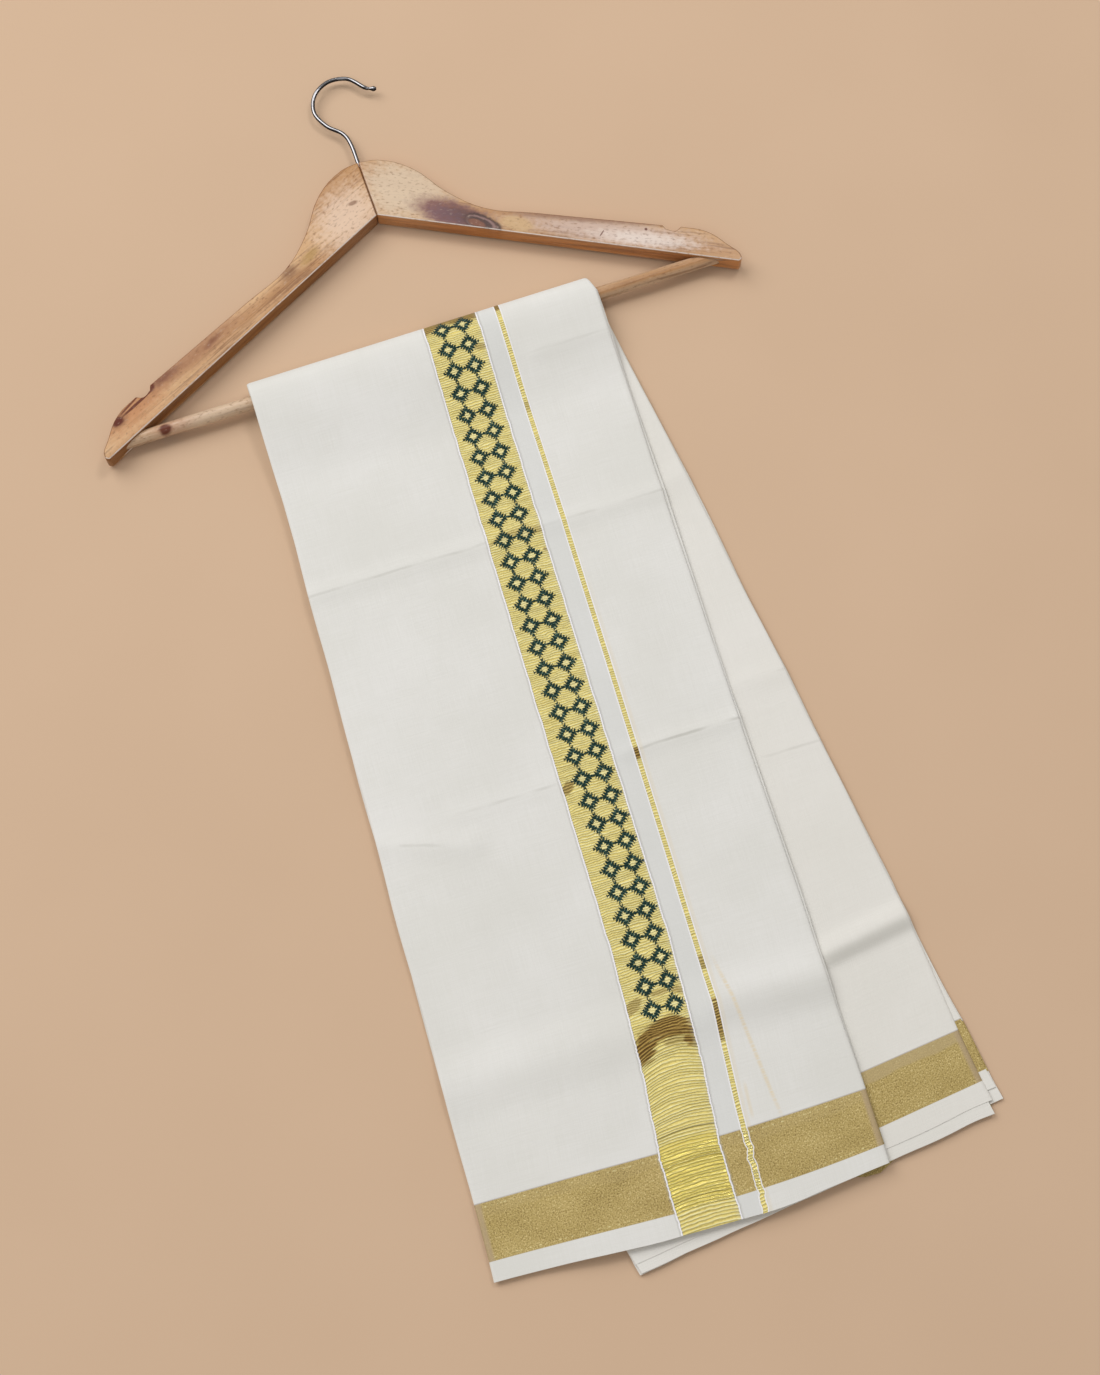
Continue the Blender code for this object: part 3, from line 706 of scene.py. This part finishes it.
def diamonds(finish):
    """Pairs of hollow green diamonds, stitched down the middle of the wide band, with short
    links between them. Returns their mask, where the thread gets a painted satin sheen, and
    their middles."""
    column, row = finish.uv("motif")
    wobble = finish.noise(finish.vector(column, row), 2.3, 1)
    x = (finish.maths("FRACT", column + 8.0) - 0.5 + wobble * 0.05) * (MOTIF_COLUMN / MM)
    y = (finish.maths("FRACT", row + 8.5) - 0.5 + wobble * 0.05) * (MOTIF_PITCH / MM)
    ragged = finish.noise(finish.vector(column * 9, row * 9), 1.0, 1)
    side = abs(x) / DIAMOND_ACROSS - abs(y) / DIAMOND_ALONG
    reach = abs(x) / DIAMOND_ACROSS + abs(y) / DIAMOND_ALONG
    teeth = finish.maths("PINGPONG", side * STITCHES + ragged * 1.2 + 20.0, 0.5) * 2
    rim = teeth * 0.46 + ragged * 0.50 + 0.76
    body = 1 - finish.smooth(reach - rim, -0.02, 0.05)
    hole = 1 - finish.smooth(reach + teeth * 0.18 + ragged * 0.30, 0.45, 0.51)
    across_link = ((1 - finish.smooth(abs(y + wobble * 2), 0.35, 0.85))
                   * (1 - finish.smooth(abs(column), 0.16, 0.22)))
    down_link = ((1 - finish.smooth(abs(x + y * 0.10), 0.20, 0.65))
                 * finish.smooth(abs(y), 5.0, 5.6) * 0.85)
    last_link = 1 - finish.smooth(row, MOTIF_ROWS - 0.7, MOTIF_ROWS - 0.68)
    stitches = finish.maths("MAXIMUM", body * (1 - hole),
                            finish.maths("MAXIMUM", across_link, down_link * last_link))
    placed = ((1 - finish.smooth(abs(column), 1.0, 1.02))
              * (1 - finish.smooth(row, MOTIF_ROWS - 0.52, MOTIF_ROWS - 0.50)))
    # painted sheen: lighter green along the stitches
    light = finish.smooth(finish.noise(finish.vector(side * 9, reach * 2, wobble * 9), 1.0, 1)
                          + (1 - teeth) * 0.20, 0.10, 0.36)
    heart = (1 - finish.smooth(reach, 0.30, 0.50)) * placed
    return stitches * placed, light, heart


def peach_stain(finish, from_line, along):
    """Where gold thread under the cotton shows through it as a peach tint beside the narrow
    line: a glow, a beaded line that runs away from it, and a short one near the border."""
    glow = finish.within(from_line, 2.0, 4.5, 1.0) * finish.smooth(along, 150.0, 260.0)
    beads = finish.smooth(finish.noise(finish.vector(0.0, along), 0.8, 2), -0.25, 0.10)
    under = (finish.within(from_line - (along - 475.0) * 0.17, 10.9, 13.1, 0.9)
             * finish.within(along, 452.0, 544.0, 14.0))
    beside = finish.within(from_line, 6.0, 8.0, 0.8) * finish.within(along, 524.0, 543.0, 3.0)
    return glow * 0.22 + under * beads * 0.60 + beside * 0.35


def front_cloth():
    """The front half's cloth: the border, the wide gold band with its green motifs, and the
    narrow gold line."""
    finish = Finish("front_cloth")
    across, along = finish.uv("band")
    from_line, from_side = finish.uv("side")
    tint, height = cotton_base(finish, across, along, 0.0, FRONT_CREASES)
    tint, height, matt = border(finish, across, along, tint, height, from_side, 0.15, 1.0)

    low = finish.smooth(along, MOTIFS_FADE, MOTIFS_END)
    wander = (finish.noise(finish.vector(0.0, along), 0.06, 2) * 1.6
              + finish.noise(finish.vector(3.0, along), 0.5, 1) * (0.4 + low * 0.8))
    from_middle = abs(across + wander)
    inside = 1 - finish.smooth(from_middle, BAND_HALF, BAND_HALF + 0.35)
    rib = arched(finish, across, along)
    brown = tarnish_and_shade(finish, BAND_TARNISH_AND_SHADE, across, rib)
    fine, fine_relief = ribbed_gold(finish, across, along, brown, FINE_PITCH)
    coarse, coarse_relief = ribbed_gold(finish, across * 0.5, rib, brown, COARSE_PITCH)
    gold = finish.mix(low, fine, hem_gold(finish, rib, coarse))
    ribs = fine_relief * (1 - low) + coarse_relief * low * 1.2
    stitched, light, heart = diamonds(finish)
    # the thread's painted sheen
    green = finish.mix(light, THREAD, THREAD_SHEEN)
    gold = finish.mix(heart * 0.45, gold, ZARI_LIGHT)
    tint = finish.mix(inside, tint, finish.mix(stitched, gold, green))
    height = height + inside * (ribs + stitched * (0.24 + light * 0.10))

    between = finish.within(across, BAND_HALF, BARE_END, 3.0) * (1 - matt)
    tint = finish.mix(between * 0.36, tint, COTTON_COOL)
    nicks = finish.noise(finish.vector(across * 0.2, along), 0.9, 1)
    cord = finish.within(from_middle, BAND_HALF + 0.1, BAND_HALF + 1.2 + nicks * 0.8, 0.2)
    # painted shadow line just outside each cord
    shade = finish.within(from_middle, BAND_HALF + 1.3, BAND_HALF + 2.2, 0.4)
    tint = finish.mix(shade * 0.28, tint, CREASE_SHADE)
    tint = finish.mix(cord, tint, CORD)
    height = height + cord * (0.40 + nicks * 0.3)

    kink = finish.noise(finish.vector(0.0, along), 0.16, 1) * finish.smooth(along, 545.0, 555.0)
    thin = abs(from_line + kink * 5.0)
    line = 1 - finish.smooth(thin, LINE_HALF - 0.15, LINE_HALF + 0.15)
    line_brown = tarnish_and_shade(finish, LINE_TARNISH_AND_SHADE, from_line, along)
    line_gold, line_relief = ribbed_gold(finish, from_line, along, line_brown, LINE_PITCH)
    piping = finish.within(thin, LINE_HALF + 0.1, LINE_HALF + 0.8, 0.2)
    tint = finish.mix(peach_stain(finish, from_line, along) * (1 - matt), tint, PEACH)
    tint = finish.mix(line, tint, line_gold)
    tint = finish.mix(piping * 0.9, tint, CORD)
    height = height + line * line_relief + piping * 0.12

    metal = finish.maths("MAXIMUM", inside * (1 - stitched), line)
    finish.set({"Base Color": tint,
                "Roughness": ROUGH["cotton"] - matt * ROUGH["border"] - metal * ROUGH["gold"],
                "Metallic": metal * 0.30 + matt * 0.2, **COTTON_GLOSS})
    finish.bump(height)
    return finish.material


# ---- wood and wire finishes
WOOD_PALE = colour(208, 166, 120)
WOOD_MID = colour(182, 132, 84)
WOOD_DARK = colour(116, 70, 38)
WOOD_TAN = colour(221, 180, 134)
# side colours, partly stain and partly painted shade: the left arm's sides darker, the right's
# lighter
WOOD_SIDE_LEFT_SHADED = colour(146, 94, 44)
WOOD_SIDE_RIGHT_LIT = colour(204, 134, 68)
WOOD_GLOSS = colour(246, 234, 224)
WOOD_CREAM = colour(222, 200, 172)
# pale pinkish tone, partly the wood and partly painted sheen of the glossy right arm
WOOD_CHALK_AND_SHEEN = colour(212, 188, 175)
KNOT = colour(96, 34, 8)
BURL = colour(134, 90, 82)
BURL_RIM = colour(62, 36, 32)
# painted reflection of the wire: dark sides and a pale top
WIRE_DARK, WIRE_BRIGHT = colour(48, 47, 51), colour(158, 157, 160)

Knot = namedtuple("Knot", "place x y half_x half_y turn strength soft colour")
# Turn is in degrees. Soft is 1 for an even cloud and near 0 for a hard edge.
LEFT_KNOTS = (
    Knot("tip of the arm", -0.198, 0.02, 0.036, 0.017, 27, 0.9, 0.9, colour(194, 134, 84)),
    Knot("along the middle", -0.148, 0.044, 0.056, 0.009, 25, 0.8, 0.9, colour(164, 112, 74)),
    Knot("head, paler", -0.02, 0.108, 0.034, 0.026, 45, 0.8, 0.9, colour(232, 204, 180)),
    Knot("darker start", -0.172, 0.0335, 0.017, 0.004, 22, 0.8, 1.0, colour(116, 56, 22)),
    Knot("darker end", -0.133, 0.049, 0.009, 0.0026, 30, 0.7, 1.0, colour(116, 56, 22)),
    Knot("by the notch", -0.1815, 0.03, 0.0036, 0.0028, 30, 0.95, 0.5, KNOT),
    Knot("streak, inner", -0.193, 0.0215, 0.016, 0.0011, 27, 0.95, 0.4, KNOT),
    Knot("streak, outer", -0.1975, 0.0225, 0.012, 0.0009, 33, 0.85, 0.4, KNOT),
    Knot("tip knot, shade", -0.208, 0.0135, 0.0085, 0.006, 30, 0.7, 0.9, WOOD_DARK),
    Knot("tip knot", -0.2085, 0.013, 0.005, 0.0034, 30, 1.0, 0.5, KNOT),
    Knot("top edge, shade", -0.07, 0.081, 0.009, 0.008, 40, 0.6, 0.9, WOOD_DARK),
    Knot("top edge", -0.0697, 0.0868, 0.0028, 0.0024, 30, 1.0, 0.4, KNOT),
    Knot("olive", -0.0524, 0.0882, 0.01, 0.0042, 35, 0.7, 0.8, colour(176, 138, 74)),
    Knot("eye", -0.0127, 0.1169, 0.0038, 0.0018, 10, 0.65, 0.6, WOOD_DARK),
)
RIGHT_KNOTS = (
    Knot("pale head", 0.024, 0.115, 0.042, 0.03, -35, 0.8, 0.8, WOOD_CREAM),
    # partly painted sheen
    Knot("chalky arm", 0.145, 0.039, 0.078, 0.012, -27, 0.75, 0.8, WOOD_CHALK_AND_SHEEN),
    Knot("burl", 0.049, 0.0865, 0.032, 0.0118, -38, 1.0, 0.6, BURL),
    Knot("burl, flecks", 0.056, 0.081, 0.026, 0.0085, -38, 0.6, 1.0, BURL_RIM),
    Knot("burl, purple", 0.044, 0.088, 0.018, 0.007, -38, 0.45, 0.8, colour(112, 80, 96)),
    Knot("burl, outer rim", 0.066, 0.0725, 0.0135, 0.0062, -42, 0.9, 0.15, BURL_RIM),
    Knot("burl, between", 0.065, 0.0732, 0.0112, 0.0048, -42, 0.7, 0.15, colour(162, 128, 122)),
    Knot("burl, inner rim", 0.064, 0.0738, 0.0095, 0.0038, -42, 0.9, 0.15, BURL_RIM),
    Knot("burl, core", 0.0622, 0.0748, 0.007, 0.0026, -42, 0.85, 0.3, colour(134, 84, 62)),
    Knot("cream patch", 0.088, 0.065, 0.012, 0.006, -32, 0.85, 0.4, colour(208, 172, 124)),
    # painted highlight on the glossy lower part of the arm
    Knot("rubbed pale", 0.166, 0.0255, 0.044, 0.0065, -27, 0.6, 0.9, WOOD_GLOSS),
    Knot("upper edge", 0.13, 0.056, 0.07, 0.0046, -25, 0.75, 0.8, colour(138, 92, 60)),
    Knot("mark", 0.1694, 0.0323, 0.001, 0.001, 0, 0.9, 0.3, KNOT),
    Knot("mark, slanting", 0.14, 0.0392, 0.0028, 0.0005, 40, 0.8, 0.3, KNOT),
)
ROD_KNOTS = (
    Knot("halo", -0.1735, -0.0006, 0.018, 0.006, 0, 0.85, 0.8, colour(168, 100, 52)),
    Knot("pale end", -0.148, 0.0, 0.05, 0.02, 0, 0.5, 0.9, colour(236, 216, 190)),
    Knot("heart", -0.1805, -0.0012, 0.0052, 0.0036, 0, 0.95, 0.5, KNOT),
)


def pine(name, grain_turn, knots, pale, side, gloss):
    """Sanded pine with its grain at an angle in degrees, fine pores and knots. Its sides, where
    they are given a colour, are browner, partly stain and partly painted shade. Its rounded
    edges are darkened with painted shade, and the lower ones carry a painted highlight. Gloss
    is 1 where the varnish is whole."""
    finish = Finish(name)
    grain = finish.place(rotation=(0, 0, radians(grain_turn)))
    along, across, up = finish.parts(grain)
    sway = finish.noise(grain, 12.0, 2) * 0.006
    bands = finish.noise(finish.vector(along * 4, (across + sway) * 110, up * 60), 1.0, 3)
    lines = finish.noise(finish.vector(along * 22, (across + sway) * 520, up * 240), 1.0, 3)
    pores = finish.noise(finish.vector(along * 330, across * 640, up * 600), 1.0, 3)
    tint = finish.mix(finish.smooth(bands, -0.22, 0.20), WOOD_MID, pale)
    tint = finish.mix(finish.smooth(lines, 0.00, 0.22) * 0.56, tint, WOOD_DARK)
    ragged = finish.noise(grain, 260.0, 2) * 0.7 + lines * 0.4 + pores * 0.5
    varnish = 0.45 * gloss
    for knot in knots:
        spot = finish.place((knot.x, knot.y + ROD_PLACE.y, 0.0), (0, 0, radians(knot.turn)),
                            (knot.half_x, knot.half_y, 1.0))
        x, y, _ = finish.parts(spot)
        reach = (x * x + y * y) ** 0.5 + ragged * (0.35 + knot.soft * 0.65)
        share = (1 - finish.smooth(reach, 1 - knot.soft * 0.85, 1.15)) * knot.strength
        tint = finish.mix(share, tint, knot.colour)
        if knot.colour in (KNOT, BURL, BURL_RIM):
            varnish = (1 - share) * varnish
    speckle = finish.smooth(pores, 0.03, 0.26)
    tint = finish.mix(speckle * 0.50, tint, WOOD_DARK)
    tint = finish.mix(finish.smooth(-1 * pores, 0.06, 0.28) * 0.22, tint, WOOD_CREAM)
    if side:
        _, lower, facing = finish.normal()
        facing = abs(facing)
        # the sides, browner: partly stain, partly painted shade
        browner = finish.mix(finish.smooth(lines, -0.1, 0.2) * 0.5, side, WOOD_DARK)
        tint = finish.mix((1 - finish.smooth(facing, 0.25, 0.60)) * 0.85, tint, browner)
        # painted shade along the rounded edges
        rim = finish.within(facing, 0.55, 0.95, 0.04)
        tint = finish.mix(rim * 0.55, tint, WOOD_DARK)
        # painted highlight on the lower rounded edges
        painted_gloss = finish.within(facing, 0.62, 0.97, 0.03) * (1 - finish.smooth(lower, -0.2, -0.1))
        tint = finish.mix(painted_gloss * finish.smooth(pores, -0.35, 0.0) * 0.75, tint, WOOD_GLOSS)
    finish.set({"Base Color": tint, "Roughness": 0.38 + lines * 0.3 + speckle * 0.15,
                "Coat Weight": varnish, "Coat Roughness": 0.16,
                "Specular IOR Level": 0.5 * gloss})
    finish.bump(lines * -0.05 + pores * -0.07)
    return finish.material


def wire():
    """Bright plated wire, a little uneven, with a painted reflection that darkens it down its
    sides.
    """
    finish = Finish("plated_wire")
    uneven = finish.noise(finish.place(), 260.0, 2)
    # painted reflection: pale where the wire faces up, dark down its sides
    painted_reflection = finish.smooth(abs(finish.normal()[2]) + uneven * 0.15, 0.66, 0.98)
    finish.set({"Base Color": finish.mix(painted_reflection, WIRE_DARK, WIRE_BRIGHT),
                "Metallic": 1.0, "Roughness": 0.13 + uneven * 0.06})
    return finish.material


# ---- the hanger's shapes
SAME_PLACE = 0.00001  # corners closer than this are one
FLAT_RIM = 0.0004
WIRE_STEP = 0.0007


def smooth_copy(node, flat):
    """A node's own shape with its faces joined, so that its rounded edges shade evenly. Where
    it has flat sides, a narrow rim keeps their shading flat."""
    bm = bmesh.new()
    bm.from_mesh(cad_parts[node].data)
    bmesh.ops.remove_doubles(bm, verts=bm.verts, dist=SAME_PLACE)
    bmesh.ops.dissolve_limit(bm, angle_limit=radians(0.5), verts=bm.verts, edges=bm.edges)
    if flat:
        for side in (1, -1):
            level = [face for face in bm.faces if face.normal.z * side > 0.99]
            bmesh.ops.inset_region(bm, faces=level, thickness=FLAT_RIM, use_even_offset=True)
    mesh = bpy.data.meshes.new(f"{node}_finished")
    bm.to_mesh(mesh)
    bm.free()
    mesh.shade_smooth()
    mesh.set_sharp_from_angle(angle=radians(42))
    return piece(mesh.name, mesh)


WirePoint = namedtuple("WirePoint", "x y swell")
# The hook's route up to its round bend and on from it to its ball. Swell is the wire's
# thickness there, against its own.
HOOK_STEM = (WirePoint(0.0004, 0.1318, 1.0), WirePoint(0.0004, HEAD_TOP, 1.0),
             WirePoint(0.0003, 0.164, 1.0), WirePoint(-0.0026, 0.1742, 1.0))
HOOK_END = (WirePoint(0.0258, 0.2024, 0.72), WirePoint(0.0284, 0.2014, 1.32),
            WirePoint(0.0303, 0.2008, 0.62))
BEND_FROM, BEND_TO, BEND_STEPS = 222, 22, 6


def smooth_route(route, spacing):
    """Points at an even spacing on a smooth curve through the route's points."""
    values = [Vector(point) for point in route]
    values = [values[0] * 2 - values[1], *values, values[-1] * 2 - values[-2]]
    points = []
    for before, start, end, after in zip(values, values[1:], values[2:], values[3:]):
        steps = max(2, round((end - start).xy.length / spacing))
        for step in range(steps):
            t = step / steps
            points.append(0.5 * (2 * start + (end - before) * t
                                 + (2 * before - 5 * start + 4 * end - after) * t ** 2
                                 + (3 * start - before - 3 * end + after) * t ** 3))
    points.append(values[-2])
    return points


def hook():
    """The bent wire hook, with a neck and a ball at its free end, in the hanger's plane."""
    bend = []
    for step in range(BEND_STEPS):
        angle = radians(BEND_FROM + (BEND_TO - BEND_FROM) * step / (BEND_STEPS - 1))
        bend.append(WirePoint(HOOK_CENTRE[0] + HOOK_BEND * cos(angle),
                              HOOK_CENTRE[1] + HOOK_BEND * sin(angle), 1.0))
    wire = bpy.data.curves.new("hook_wire", "CURVE")
    wire.dimensions, wire.use_fill_caps = "3D", True
    wire.bevel_depth, wire.bevel_resolution = WIRE_RADIUS, 6
    points = smooth_route((*HOOK_STEM, *bend, *HOOK_END), WIRE_STEP)
    spline = wire.splines.new("POLY")
    spline.points.add(len(points) - 1)
    for bead, point in zip(spline.points, points):
        bead.co = (point.x, point.y * cos(HANGER_TILT) + ROD_PLACE.y,
                   ROD_HEIGHT + point.y * sin(HANGER_TILT), 1.0)
        bead.radius = point.z
    spline.use_smooth = True
    return piece("hook_finished", wire)


# ---- the set and light
FLOOR_HALF, FLOOR_DROP = 3.0, 0.0002  # half its side, and how far it lies under the part


def floor():
    """A plain pale floor."""
    bm = bmesh.new()
    bmesh.ops.create_grid(bm, x_segments=1, y_segments=1, size=FLOOR_HALF)
    mesh = bpy.data.meshes.new("floor")
    bm.to_mesh(mesh)
    bm.free()
    made = piece("floor", mesh)
    made.location.z = -FLOOR_DROP
    finish = Finish("floor_paint")
    speck = finish.noise(finish.place(), 6.0, 2)
    finish.set({"Base Color": finish.mix(finish.smooth(speck, -0.4, 0.4),
                                         colour(213, 183, 154), colour(217, 187, 158)),
                "Roughness": 0.95, "Specular IOR Level": 0.1})
    mesh.materials.append(finish.material)


Lamp = namedtuple("Lamp", "name place target size power tint")
DAYLIGHT = (1.0, 0.99, 0.98)
LAMPS = (
    Lamp("window", (-1.5, 2.3, 3.1), (0.0, 0.0, 0.0), 3.2, 103.0, DAYLIGHT),
    Lamp("front", (-0.75, -1.35, 2.55), (0.0, 0.0, 0.0), 1.0, 8.0, DAYLIGHT),
    Lamp("reflector", (1.3, 1.1, 2.5), (0.45, 0.2, 0.0), 0.8, 15.0, (1.0, 0.98, 0.97)),
)
SKY_TINT, SKY_STRENGTH = (1.0, 0.98, 0.96, 1.0), 0.33
CAMERA_PLACE = Vector((-0.12889, -0.63086, 1.36289))
CAMERA_TILT, CAMERA_TURN = radians(16.5), radians(-19.07)  # from straight down, and from +Y
CAMERA_LENS, CAMERA_SENSOR = 57.73, 36.0  # mm


def light():
    """Soft square lamps, each facing its target, and a pale sky."""
    scene = bpy.context.scene
    scene.world = bpy.data.worlds.new("studio")
    scene.world.use_nodes = True
    sky = scene.world.node_tree.nodes["Background"]
    sky.inputs["Color"].default_value = SKY_TINT
    sky.inputs["Strength"].default_value = SKY_STRENGTH
    scene.view_settings.view_transform = "Standard"
    for lamp in LAMPS:
        glow = bpy.data.lights.new(lamp.name, "AREA")
        glow.size, glow.energy, glow.color = lamp.size, lamp.power, lamp.tint
        made = piece(lamp.name, glow)
        made.location = lamp.place
        facing = Vector(lamp.target) - Vector(lamp.place)
        made.rotation_euler = facing.to_track_quat("-Z", "Y").to_euler()


def camera():
    """Looks down on the cloth as it lies."""
    view = bpy.data.cameras.new("camera")
    view.sensor_width, view.lens = CAMERA_SENSOR, CAMERA_LENS
    made = piece("camera", view)
    made.location = CAMERA_PLACE + ROD_PLACE
    made.rotation_euler = (CAMERA_TILT, 0.0, CAMERA_TURN)
    bpy.context.scene.camera = made


# ---- the part
light()
camera()
floor()

front_sheet, front_plies, back_sheet, back_plies = [put_strip(strip) for strip in STRIPS]
front_sheet.data.materials.append(front_cloth())
front_plies.data.materials.append(plain_cloth("front_plies_cloth", 0.1))
back_sheet.data.materials.append(plain_cloth("back_cloth", 0.35, BACK_CREASES, 0.7, 1.0))
back_plies.data.materials.append(plain_cloth("back_plies_cloth", 0.35))

for made, nodes in ((front_sheet, ("front_face", "fold_face")),
                    (front_plies, ("front_layers", "fold_layers")),
                    (back_sheet, ("back_face",)), (back_plies, ("back_layers",))):
    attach(made, "root")
    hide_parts(*nodes)

for name, made, slot, finish in (
        ("arm_left", smooth_copy("arm_left", True), "wood",
         pine("pine_left", 26, LEFT_KNOTS, WOOD_TAN, WOOD_SIDE_LEFT_SHADED, 0.4)),
        ("arm_right", smooth_copy("arm_right", True), "wood",
         pine("pine_right", -27, RIGHT_KNOTS, WOOD_PALE, WOOD_SIDE_RIGHT_LIT, 1.0)),
        ("trouser_rod", smooth_copy("trouser_rod", False), "wood",
         pine("pine_rod", 0, ROD_KNOTS, WOOD_CREAM, None, 0.7)),
        ("hook", hook(), "steel", wire())):
    made.data.materials.append(finish)
    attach(made, "root")
    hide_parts(name)
